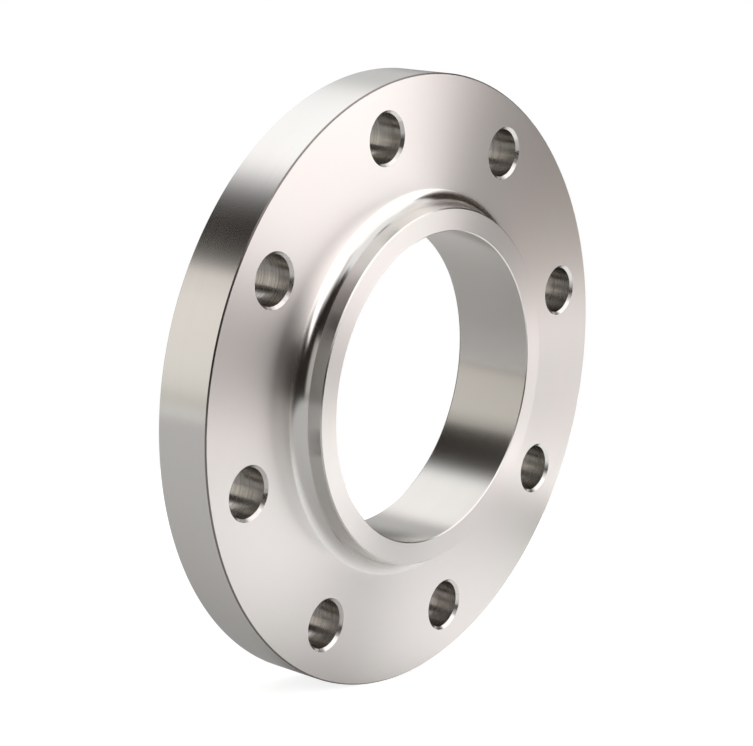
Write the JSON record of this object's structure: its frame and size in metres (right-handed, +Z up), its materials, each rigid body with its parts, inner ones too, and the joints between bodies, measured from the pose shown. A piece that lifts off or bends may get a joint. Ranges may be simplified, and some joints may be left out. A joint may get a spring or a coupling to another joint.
{
  "type": "hubbed slip-on pipe flange",
  "caption": "Round steel pipe flange with a short tapered hub, a straight through bore and a ring of bolt holes, for joining a pipe end face to face.",
  "frame": {"origin": "centre of the gasket face, on the pipe's axis", "axes": "+X along the pipe's axis from the gasket face towards the hub, +Z up, with the bolt holes straddling the XZ plane"},
  "size_m": [0.0333, 0.2286, 0.2286],
  "materials": {
    "stainless_steel": "turned stainless steel: fine circular lay on the faces, bright on the rim and bore, drilled bolt holes"
  },
  "bodies": {
    "root": {"flange": "stainless_steel"}
  },
  "joints": []
}
